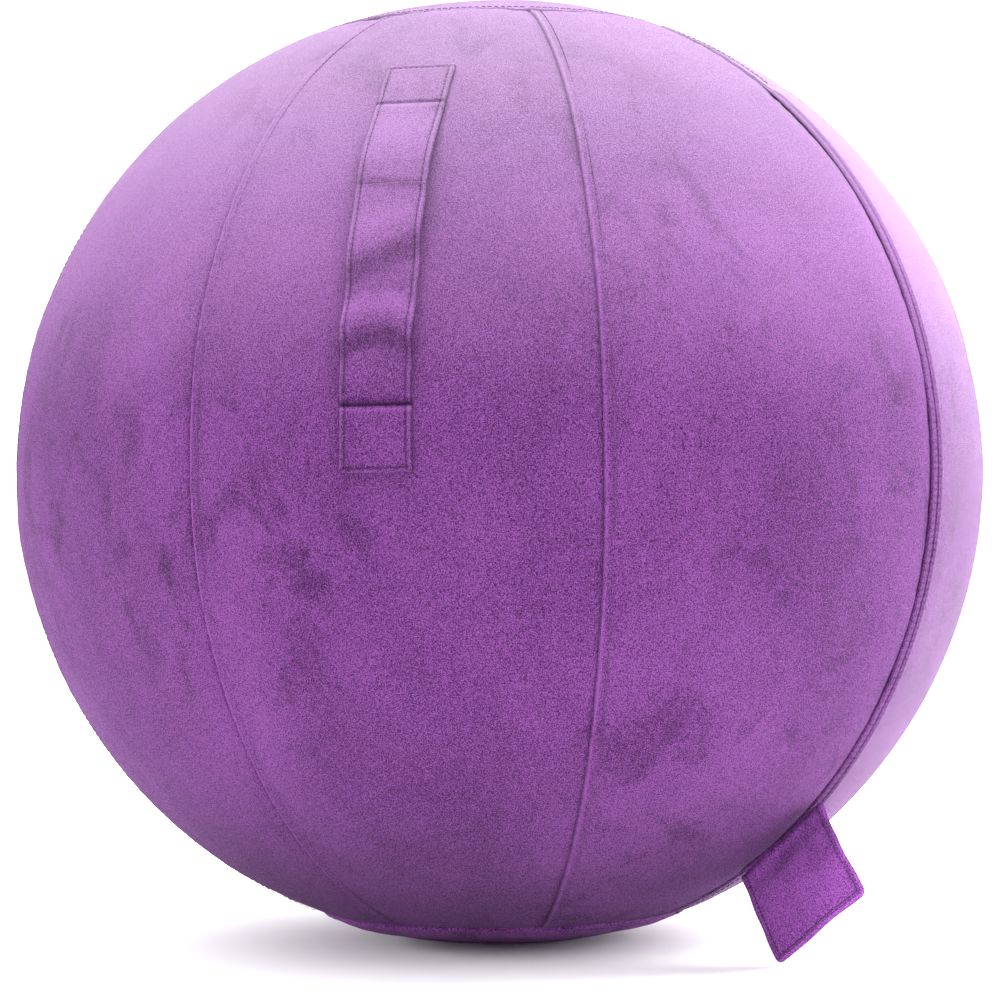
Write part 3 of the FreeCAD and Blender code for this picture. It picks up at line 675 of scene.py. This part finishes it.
def round_piece(name, node, edge, pole, bulge, material):
    """The round piece on top or underneath, with a folded edge on its seam."""
    near = steps_from_edge(ROUND_EDGE_ROWS, ROUND_EDGE_REACH) * DEGREES_PER_METRE
    steps = np.concatenate([near[:-1], np.linspace(near[-1], abs(pole - edge) - FROM_POLE, ROUND_ROWS)])
    elevation = (edge + math.copysign(1, pole) * steps)[:, None]
    azimuth = np.linspace(0, 360, ROUND_COLUMNS + 1)[None, :-1]
    elevation, azimuth = np.broadcast_arrays(elevation, azimuth)
    distance = np.abs(elevation - edge) / DEGREES_PER_METRE
    around = along_end_seam(azimuth)
    points = on_cover(azimuth, elevation)
    lift = seam_fold(distance) + bulge * bell(distance - BULGE_PLACE, BULGE_WIDTH)
    lift += ROUND_PUCKERS * drag_lines(around, distance, 21) + ROUND_SWELL * soft_noise(points, 0.07, 6)
    outside = settle(on_cover(azimuth, elevation, lift))
    inside = on_cover(azimuth, elevation, -COVER_THICK)
    inside[..., 2] = np.maximum(inside[..., 2], BASE_UNDERSIDE)
    middles = [grid[-1].mean(axis=0) for grid in (outside, inside)]
    vertices, faces = round_solid(outside, inside, *middles)
    if pole < 0:
        faces = [face[::-1] for face in faces]
    piece = add_piece(name, vertices, faces, material)
    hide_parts(node)


def seam_line(azimuth, across, low, high, lift, count=400):
    """Points and normals along a seam, a distance across from it."""
    line = []
    for elevation in np.linspace(low, high, count):
        out = float(meridian(elevation)[0])
        turned = azimuth + math.degrees(across / out)
        line.append((on_cover(turned, elevation, lift), normal_at(turned, float(elevation))))
    return line


def ring_line(elevation, lift, count=360):
    """Points and normals all round the ball at one elevation."""
    return [
        (on_cover(a, elevation, lift), normal_at(float(a), elevation))
        for a in np.linspace(0, 360, count)
    ]


def add_cover(cloth, thread):
    """The panels and the two round pieces, with the rows of stitches beside their seams."""
    # The zip panel's velvet: more sheen, and a lighter copy, paler at the top, which is painted light.
    sheen_and_painted_light = velvet("velvet_sheen_and_painted_light", shade=1.1, painted_pale=0.04, sheen=0.46)
    for number in range(1, PANELS + 1):
        panel(number, sheen_and_painted_light if number == ZIP_PANEL else cloth)
    round_piece("top_round", "top_cap", TOP_EDGE, 90, 0.0, cloth)
    # The base's velvet is a lighter copy: painted light on the underside, which faces away from the lights.
    round_piece("base_round", "base_disc", BASE_EDGE, -90, BASE_BULGE, velvet("velvet_base_painted_light", shade=1.6))
    stitch_place = RIDGE_WIDTH - RIDGE_STITCH
    for number in range(1, PANELS + 1):
        if number != ZIP_PANEL:
            line = seam_line(seam_azimuth(number), stitch_place, SEAM_ROW_LOW, SEAM_ROW_HIGH, 0.25 * MM)
            stitches(f"panel_stitch_{number}", line, thread, radius=FINE_THREAD_RADIUS)
    inset = stitch_place * DEGREES_PER_METRE
    stitches("top_stitch", ring_line(TOP_EDGE + inset, 0.2 * MM), thread, radius=FINE_THREAD_RADIUS)
    stitches("base_stitch", ring_line(BASE_EDGE - inset, 0.75 * MM), thread, radius=FINE_THREAD_RADIUS)


# ---- the zip ----

# The folded edge's section, as distance from the zip's middle and height above the cover, in mm.
LIP_SECTION = (
    (0.75, -1.5), (0.45, -0.7), (0.50, 0.0), (0.8, 0.7), (1.3, 1.1), (1.9, 1.1), (2.4, 0.7), (2.9, 1.0),
    (3.8, 1.2), (4.8, 1.15), (5.4, 0.75), (6.0, 1.0), (6.8, 0.7), (7.5, 0.0), (7.6, -0.7), (5.0, -1.5),
)
LIP_NEAR, LIP_UNDER = 0.75, 1.5
LIP_ROWS = 260
LIP_PAST_END, LIP_FADE = 2.2, 2.6
LIP_STITCHES = (("near", 2.4), ("far", 5.4))

COIL_LOW, COIL_HIGH = -52.4, 47.2
COIL_PITCH = 1.25 * MM
COIL_WIRE = 0.24 * MM
COIL_WIRE_SIDES = 5
COIL_STEPS = 8
COIL_OUT, COIL_SIDEWAYS, COIL_UPWARDS = 1.42 * MM, 0.82 * MM, 0.62 * MM
COIL_DEPTH = 3.8 * MM


def zip_lip(side, sign, material):
    """The folded, topstitched edge that hides one half of the zip, fading away past the zip's ends."""
    low, high = ZIP_LOW - LIP_PAST_END, ZIP_HIGH + LIP_PAST_END
    rows = []
    for elevation in np.linspace(low, high, LIP_ROWS):
        end = float(smooth((elevation - low) / LIP_FADE) * smooth((high - elevation) / LIP_FADE))
        wander = 0.12 * MM * noise.noise((elevation * 0.9, sign * 3.0, 0.0))
        ring = []
        for across, lift in LIP_SECTION:
            shrunk = LIP_NEAR + (across - LIP_NEAR) * (0.25 + 0.75 * end)
            raised = (lift + LIP_UNDER) * (0.2 + 0.8 * end) - LIP_UNDER
            raised = raised * MM + wander * (across > 1)
            ring.append(on_cover(ZIP_AZIMUTH, elevation, raised, sign * shrunk * MM))
        rows.append(ring if sign > 0 else ring[::-1])
    piece = add_piece(f"zip_edge_{side}", *swept(rows), material)
    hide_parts(f"zip_lip_{side}")


def zip_coil(side, sign, material):
    """One coil of the zip: a thin helix sewn along the tape's edge."""
    length = math.radians(COIL_HIGH - COIL_LOW) * (ARC_RADIUS - COIL_DEPTH)
    steps = int(length / COIL_PITCH) * COIL_STEPS
    rows = []
    for step in range(steps + 1):
        turn = math.tau * step / COIL_STEPS
        elevation = COIL_LOW + (COIL_HIGH - COIL_LOW) * step / steps
        ring = []
        for k in range(COIL_WIRE_SIDES):
            around = math.tau * k / COIL_WIRE_SIDES
            spread = COIL_WIRE * math.cos(around)
            along = math.degrees(COIL_WIRE * math.sin(around) / ARC_RADIUS)
            lift = (COIL_UPWARDS + spread) * math.sin(turn) - COIL_DEPTH
            across = COIL_OUT + (COIL_SIDEWAYS + spread) * math.cos(turn)
            ring.append(on_cover(ZIP_AZIMUTH, elevation + along, lift, sign * across))
        rows.append(ring)
    piece = add_piece(f"zip_teeth_{side}", *swept(rows), material, slot="coil")
    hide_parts(f"zip_coil_{side}")


def rounded_copy(node, name, body, width, material):
    """A CAD piece with its edges rounded, as a die casting's are."""
    piece = bpy.data.objects.new(name, frame["nodes"][node].data.copy())
    bpy.context.collection.objects.link(piece)
    piece.data.materials.clear()
    piece.data.materials.append(material)
    weld = piece.modifiers.new("weld", "WELD")
    weld.merge_threshold = 0.01 * MM
    bevel = piece.modifiers.new("bevel", "BEVEL")
    bevel.width = width
    bevel.segments = 3
    bevel.limit_method = "ANGLE"
    bevel.angle_limit = math.radians(40)
    piece.data.polygons.foreach_set("use_smooth", [True] * len(piece.data.polygons))
    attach(piece, body)
    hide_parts(node)


def add_zip(thread, coil):
    """The zip's folded edges, coils, slider and puller, and the stitches along its seam."""
    enamel = plain_material("zip_enamel", (0.105, 0.03, 0.145), 0.34, 0.35)
    # A darker copy of the velvet on the zip's folded edges: painted shade.
    painted_shade_edge = velvet("velvet_edge_painted_shade", shade=0.84)
    pale_thread = plain_material("thread_pale", PALE_THREAD, CLOTH_ROUGHNESS)
    for side, sign in (("left", -1), ("right", 1)):
        zip_lip(side, sign, painted_shade_edge)
        zip_coil(side, sign, coil)
        for row, across in LIP_STITCHES:
            line = seam_line(ZIP_AZIMUTH, sign * across * MM, ZIP_LOW + 0.6, ZIP_HIGH - 0.6, 0.8 * MM)
            stitches(f"zip_stitch_{side}_{row}", line, pale_thread)
    for end, low, high in (("low", SEAM_ROW_LOW, ZIP_LOW - 2), ("high", ZIP_HIGH + 2, SEAM_ROW_HIGH)):
        line = seam_line(ZIP_AZIMUTH, RIDGE_WIDTH - RIDGE_STITCH, low, high, 0.5 * MM, 80)
        stitches(f"zip_stitch_{end}", line, thread)
    rounded_copy("zip_slider", "slider", "zip_slider", 0.12 * MM, enamel)
    rounded_copy("zip_puller", "puller", "zip_puller", 0.25 * MM, enamel)


# ---- the carrying strap ----

STRAP_AZIMUTH = -23.2
STRAP_LOW, STRAP_HIGH = -1.7, 49.6
STRAP_END = 7.0
LOW_CREASE, HIGH_CREASE = STRAP_LOW + STRAP_END, STRAP_HIGH - STRAP_END
STRAP_JOIN = 29.6
# Half its width, 0.6 mm more than in CAD, as the photo shows it.
STRAP_HALF = 21.6 * MM
STRAP_HEM = 3.4 * MM
STRAP_SEWN, STRAP_LOOSE = 2.4, 1.4
STRAP_COLUMNS = 57
STRAP_ROW_STEP = 0.14
STRAP_THREAD = {"length": 2.6 * MM, "gap": 1.1 * MM, "radius": 0.28 * MM}
CROSS_THREAD = {"length": 2.4 * MM, "gap": 1.0 * MM, "radius": 0.28 * MM}

# Each fold of the loose strap: where it starts, how wide it is, its rise in mm, and how it slants and bows.
STRAP_FOLDS = (
    (5.4, 3.0, 1.2, 0.0, 0.0),
    (11.2, 2.6, 5.2, 0.0, 1.5),
    (14.4, 3.4, -4.2, 0.0, 1.3),
    (19.2, 3.2, 5.6, -1.7, 0.0),
    (23.0, 5.0, -2.6, -1.2, 0.0),
    (28.9, 1.5, 1.4, 0.5, 0.0),
    (32.0, 10.0, -6.6, 0.0, 0.0),
)


def strap_lift(elevation, across):
    """How far the strap's mid-surface stands off the cover.

    It is sewn flat at its ends, creased at the stitches across it and loose in folds between them."""
    side = across / STRAP_HALF
    folds = sum(
        rise * smooth((elevation + slant * side + bow * side**2 - start) / width)
        for start, width, rise, slant, bow in STRAP_FOLDS
    )
    loose = smooth((elevation - LOW_CREASE) / 1.0) * smooth((HIGH_CREASE - elevation) / 1.4)
    curl = -0.9 * np.abs(side) ** 3
    creases = 1.5 * bell(elevation - LOW_CREASE - 0.12, 0.22)
    creases += 1.0 * bell(elevation - HIGH_CREASE + 0.12, 0.22)
    return (STRAP_SEWN - creases + loose * (STRAP_LOOSE + np.maximum(folds, 0) + curl)) * MM


def strap_half(elevation):
    """Half the strap's width, spread a little at its low end."""
    return STRAP_HALF + 0.9 * MM * bell(elevation - STRAP_LOW, 1.1)


def strap_lean(elevation):
    """How far the strap's middle line leans to the side as it goes up."""
    return 2.0 * MM * smooth((elevation - 6) / 18)


def from_strap_end(elevation):
    """Distance from the nearer of the strap's ends, in metres."""
    return np.minimum(elevation - STRAP_LOW, STRAP_HIGH - elevation) / DEGREES_PER_METRE


def strap_points(elevation, share, face):
    """One face of the strap; face is 1 outside and -1 inside."""
    half = strap_half(elevation)
    across = share * half
    edge = half - np.abs(across)
    thick = 0.45 * MM + 1.1 * MM * smooth(edge / (1.5 * MM))
    ends = from_strap_end(elevation)
    thick *= 0.65 + 0.35 * smooth(ends / (1.2 * MM))
    thick -= 0.75 * MM * bell(edge - STRAP_HEM, 0.65 * MM) + 0.6 * MM * bell(ends - STRAP_HEM, 0.65 * MM)
    thick += 0.18 * MM * bell(edge - 1.8 * MM, 1.1 * MM) + 0.30 * MM * bell(ends - 1.8 * MM, 1.1 * MM)
    lift = strap_lift(elevation, across) + face * thick
    lift += 0.10 * MM * np.sin(elevation * 9.0) * bell(edge, 3 * MM)
    across = across + strap_lean(elevation)
    return on_cover(STRAP_AZIMUTH, elevation, np.maximum(lift, 0.25 * MM), across)


def strap_pile_and_painted_light(elevation, share):
    """Painted shade on slopes that face down and in creases, a painted highlight on the hems, random flecks.
    """
    half = strap_half(elevation)
    across = share * half
    step = 0.25
    climb = strap_lift(elevation + step, across) - strap_lift(elevation - step, across)
    slope = climb * DEGREES_PER_METRE / step / 2
    edge = np.minimum(half - np.abs(across), from_strap_end(elevation))
    pile_and_painted_light = -0.62 * np.clip(slope, -0.6, 0.8) * smooth(np.abs(elevation - LOW_CREASE) / 0.8)
    pile_and_painted_light -= 0.9 * bell(elevation - LOW_CREASE - 0.15, 0.20)
    pile_and_painted_light -= 0.25 * bell(elevation - HIGH_CREASE + 0.15, 0.22)
    flecks = np.array([noise.noise((float(e) * 2.3, 0.0, 0.0)) for e in elevation[:, 0]])[:, None]
    pile_and_painted_light += (0.20 + 0.3 * flecks) * bell(edge - 1.6 * MM, 0.8 * MM) - 0.6 * (1 - smooth(edge / (0.9 * MM)))
    pile_and_painted_light -= 0.35 * bell((elevation - STRAP_LOW) / DEGREES_PER_METRE - 1.9 * MM, 0.6 * MM)
    pile_and_painted_light -= (0.34 + 0.4 * np.roll(flecks, 23)) * bell(edge - STRAP_HEM, 0.7 * MM)
    return pile_and_painted_light + 0.35 * bell(elevation - LOW_CREASE + 0.42, 0.25)


def strap_piece(name, low, high, nodes, material):
    """One of the strap's two pieces: it stretches from the cover, at start, to the grip, at end."""
    share = np.sin(np.linspace(-1, 1, STRAP_COLUMNS) * math.pi / 2)[None, :]
    elevation = np.linspace(low, high, int((high - low) / STRAP_ROW_STEP))[:, None]
    elevation, share = np.broadcast_arrays(elevation, share)
    outside = strap_points(elevation, share, 1)
    inside = strap_points(elevation, share, -1)
    pile_and_painted_light = strap_pile_and_painted_light(elevation, share)
    piece = add_piece(name, *sheet_solid(outside, inside), material, body=None, pile_and_painted_light=pile_and_painted_light)
    for face in piece.data.polygons:
        if len({vertex % elevation.size // STRAP_COLUMNS for vertex in face.vertices}) == 1:
            face.use_smooth = False
    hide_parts(*nodes)
    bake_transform(piece)


def strap_stitch(name, low, high, side, material):
    """A row of stitches along one edge of the strap."""
    line = []
    for elevation in np.linspace(low, high, 120):
        across = side * (float(strap_half(elevation)) - STRAP_HEM)
        lift = float(strap_lift(elevation, across)) + 0.95 * MM
        place = on_cover(STRAP_AZIMUTH, elevation, lift, across + float(strap_lean(elevation)))
        line.append((place, normal_at(STRAP_AZIMUTH, float(elevation))))
    piece = stitches(name, line, material, body=None, **STRAP_THREAD)
    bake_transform(piece)


def cross_stitch(name, elevation, material):
    """A row of stitches across the strap, riding on the cover."""
    half = float(strap_half(elevation)) - STRAP_HEM
    out = normal_at(STRAP_AZIMUTH, elevation)
    line = []
    for across in np.linspace(-half, half, 40):
        lift = float(strap_lift(elevation, across)) + 1.0 * MM
        line.append((on_cover(STRAP_AZIMUTH, elevation, lift, across + float(strap_lean(elevation))), out))
    stitches(name, line, material, **CROSS_THREAD)


def add_strap(cloth, thread):
    """The strap in two pieces that meet in the grip."""
    join = on_cover(STRAP_AZIMUTH, STRAP_JOIN, 2 * MM)
    low_crease = on_cover(STRAP_AZIMUTH, LOW_CREASE, 2 * MM)
    high_crease = on_cover(STRAP_AZIMUTH, HIGH_CREASE, 2 * MM)
    lower_nodes = ("handle_lower_end", "handle_lower_slack")
    upper_nodes = ("handle_upper_end", "handle_upper_slack", "handle_grip")
    strap_piece("strap_lower", STRAP_LOW, STRAP_JOIN, lower_nodes, cloth)
    strap_piece("strap_upper", STRAP_JOIN, STRAP_HIGH, upper_nodes, cloth)
    inset = STRAP_HEM * DEGREES_PER_METRE
    low, high = STRAP_LOW + inset, STRAP_HIGH - inset
    for side_name, side in (("left", -1), ("right", 1)):
        strap_stitch(f"strap_stitch_lower_{side_name}", low, STRAP_JOIN, side, thread)
        strap_stitch(f"strap_stitch_upper_{side_name}", STRAP_JOIN, high, side, thread)
    cross_stitch("strap_cross_bottom", low, thread)
    cross_stitch("strap_cross_top", high, thread)


# ---- the side tab ----

# Its flat size, as in CAD. tab_outline follows the photo more closely than that.
TAB_WIDTH, TAB_LENGTH = 75.5 * MM, 70 * MM
TAB_CORNER = 5 * MM
TAB_HEM = 4.2 * MM
TAB_EDGE_ROW = TAB_HEM - 2.4 * MM
TAB_ROOT_SHIFT = -2.5 * MM
TAB_ROOT_DEPTH = 1.3 * MM
TAB_DROP = 4.4 * MM
TAB_SPREAD, TAB_FAR_SPREAD = 1.026, 0.021
TAB_THICK, TAB_EDGE_THICK = 3.0 * MM, 0.7 * MM
TAB_COLUMNS = 72
TAB_STITCHES_FROM = 0.06
TAB_THREAD = {"length": 2.6 * MM, "gap": 1.1 * MM, "radius": 0.27 * MM}


def tab_axes():
    """The tab's root, the direction down the seam, the direction out along the tab and the one it faces."""
    joint = JOINTS["tab_swing"]
    along = Vector(joint["axis"]).normalized()
    root = Vector(joint["pos_m"])
    box_middle = (low_of("side_tab_front") + high_of("side_tab_front")) / 2
    outward = box_middle - root
    outward = (outward - along * outward.dot(along)).normalized()
    turn = math.radians(ZIP_AZIMUTH)
    root = root + Vector((math.cos(turn), math.sin(turn), 0)) * TAB_ROOT_SHIFT
    return root, along, outward, along.cross(outward)


def tab_bend(x, y):
    """How the limp tab bows out of its plane; x runs down the seam and y out from it."""
    far = np.maximum(y / TAB_LENGTH, 0)
    bow = 2.4 * MM * np.sin(math.pi * far) * (0.7 - x / TAB_WIDTH)
    flutter = 0.6 * MM * np.sin(9 * x / TAB_WIDTH + 2.0) * far**1.5
    dip = -2.0 * MM * bell(y - 9 * MM, 7 * MM) * bell(x - 6 * MM, 24 * MM)
    return bow + flutter + dip


def tab_outline(u, v):
    """Maps a square, u from -1 to 1 and v from 0 to 1, to the tab's outline with two rounded free corners.

    It is a little wider and longer than the flat size, and its root starts inside the cover."""
    x = u * TAB_WIDTH / 2
    y = v * TAB_LENGTH
    a = np.clip((np.abs(x) - TAB_WIDTH / 2 + TAB_CORNER) / TAB_CORNER, 0, 1)
    b = np.clip((y - TAB_LENGTH + TAB_CORNER) / TAB_CORNER, 0, 1)
    corner = (a > 0) & (b > 0)
    round_x = np.sign(x) * (TAB_WIDTH / 2 - TAB_CORNER + TAB_CORNER * a * np.sqrt(1 - b * b / 2))
    round_y = TAB_LENGTH - TAB_CORNER + TAB_CORNER * b * np.sqrt(1 - a * a / 2)
    x, y = np.where(corner, round_x, x), np.where(corner, round_y, y)
    wobble = 0.25 * MM * np.sin(17 * v + 1.0) * np.abs(u) ** 6 * np.sign(u)
    x = x * (TAB_SPREAD + TAB_FAR_SPREAD * v) + (1.0 - 1.5 * v) * MM + wobble
    y = y - TAB_ROOT_DEPTH + (TAB_ROOT_DEPTH + TAB_DROP - 1.85 * MM * u) * v
    return x, y + 0.3 * MM * np.sin(6 * u + 0.6) * v**6


def tab_surface(x, y, edge, face):
    """The tab's front or back, thinner at its folded edge, with a raised hem and its stitch groove."""
    half = (TAB_EDGE_THICK + (TAB_THICK - TAB_EDGE_THICK) * smooth(edge / (1.6 * MM))) / 2
    half += 0.35 * MM * bell(edge - 2.2 * MM, 1.4 * MM) - 0.65 * MM * bell(edge - TAB_HEM, 0.7 * MM)
    return tab_bend(x, y) + face * half


def tab_place(x, y, z):
    """Points of the tab in the shared frame: x is down the seam, y out along the tab, z off its plane."""
    root, along, outward, facing = (np.array(v) for v in tab_axes())
    return root + x[..., None] * along + y[..., None] * outward + z[..., None] * facing


def tab_path(inset):
    """Points along the tab's three free edges, at an inset from them."""
    side, far = 1 - inset / (TAB_WIDTH / 2), 1 - inset / TAB_LENGTH
    down = [(side, v) for v in np.linspace(TAB_STITCHES_FROM, far, 30)]
    across = [(u, far) for u in np.linspace(side, -side, 30)[1:-1]]
    back = [(-side, v) for v in np.linspace(far, TAB_STITCHES_FROM, 30)]
    u, v = np.array(down + across + back).T
    return tab_outline(u, v)


def add_tab(thread):
    """The tab as one sheet of two sewn layers, with two rows of stitches on each face."""
    u = np.sin(np.linspace(-1, 1, TAB_COLUMNS) * math.pi / 2)[None, :]
    near_edge = 0.8 + 0.2 * np.sin(np.linspace(0, 1, 26) * math.pi / 2)
    v = np.concatenate([np.linspace(0, 0.8, 44)[:-1], near_edge])
    u, v = np.broadcast_arrays(u, v[:, None])
    x, y = tab_outline(u, v)
    edge = np.minimum(TAB_WIDTH / 2 - np.abs(u) * TAB_WIDTH / 2, (1 - v) * TAB_LENGTH)
    front, back = (tab_place(x, y, tab_surface(x, y, edge, side)) for side in (1, -1))
    vertices, faces = sheet_solid(front, back)
    # Painted light and shade: a highlight on the hem's fold, shade in its stitch groove and the root's crease,
    # and a painted shadow of the ball near the root. The tab's velvet is a lighter copy: painted light.
    pile_and_painted_light = 0.08 * bell(edge - 1.2 * MM, 1.1 * MM) - 0.30 * bell(edge - TAB_HEM, 0.8 * MM)
    pile_and_painted_light -= 0.55 * bell(y, 1.8 * MM) + 0.22 * bell(y - 13 * MM, 8 * MM) * bell(x - 8 * MM, 22 * MM)
    cloth = velvet("velvet_tab_painted_light", shade=2.6)
    tab = add_piece("side_tab", vertices, [face[::-1] for face in faces], cloth, body="side_tab", pile_and_painted_light=pile_and_painted_light)
    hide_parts("side_tab_front", "side_tab_back")
    normal = tab_axes()[3]
    for face_name, side in (("front", 1), ("back", -1)):
        for row, inset in (("hem", TAB_HEM), ("edge", TAB_EDGE_ROW)):
            px, py = tab_path(inset)
            pz = tab_surface(px, py, np.array(inset), side) + side * 0.05 * MM
            line = [(place, normal * side) for place in tab_place(px, py, pz)]
            stitches(f"tab_stitch_{face_name}_{row}", line, thread, "side_tab", **TAB_THREAD)


# ---- the pieces inside ----

def add_inside(coil):
    """Materials for the CAD pieces that stay as they are, all of them hidden."""
    rubber = plain_material("bladder_rubber", (0.10, 0.105, 0.12), 0.55)
    plug = plain_material("plug_plastic", (0.75, 0.75, 0.74), 0.4)
    lining = plain_material("lining_cloth", (0.025, 0.02, 0.03), 0.95)
    tape = plain_material("zip_tape_cloth", (0.07, 0.02, 0.10), 0.9)
    materials = {
        "ball_bladder": rubber, "valve_seat": rubber, "valve_plug": plug, "base_lining": lining,
        "base_weight_ring": lining, "zip_tape_left": tape, "zip_tape_right": tape, "zip_lower_stop": coil,
        "zip_upper_stop": coil,
    }
    for name, material in materials.items():
        for place in frame["nodes"][name].material_slots:
            place.material = material


add_camera()
add_stage()
velvet_cloth = velvet()
seam_thread = plain_material("thread", SEAM_THREAD, CLOTH_ROUGHNESS)
dark_thread = plain_material("thread_dark", DARK_THREAD, CLOTH_ROUGHNESS)
zip_plastic = plain_material("zip_coil_plastic", (0.10, 0.025, 0.14), 0.42)
add_cover(velvet_cloth, seam_thread)
add_zip(seam_thread, zip_plastic)
add_strap(velvet_cloth, dark_thread)
add_tab(dark_thread)
add_inside(zip_plastic)
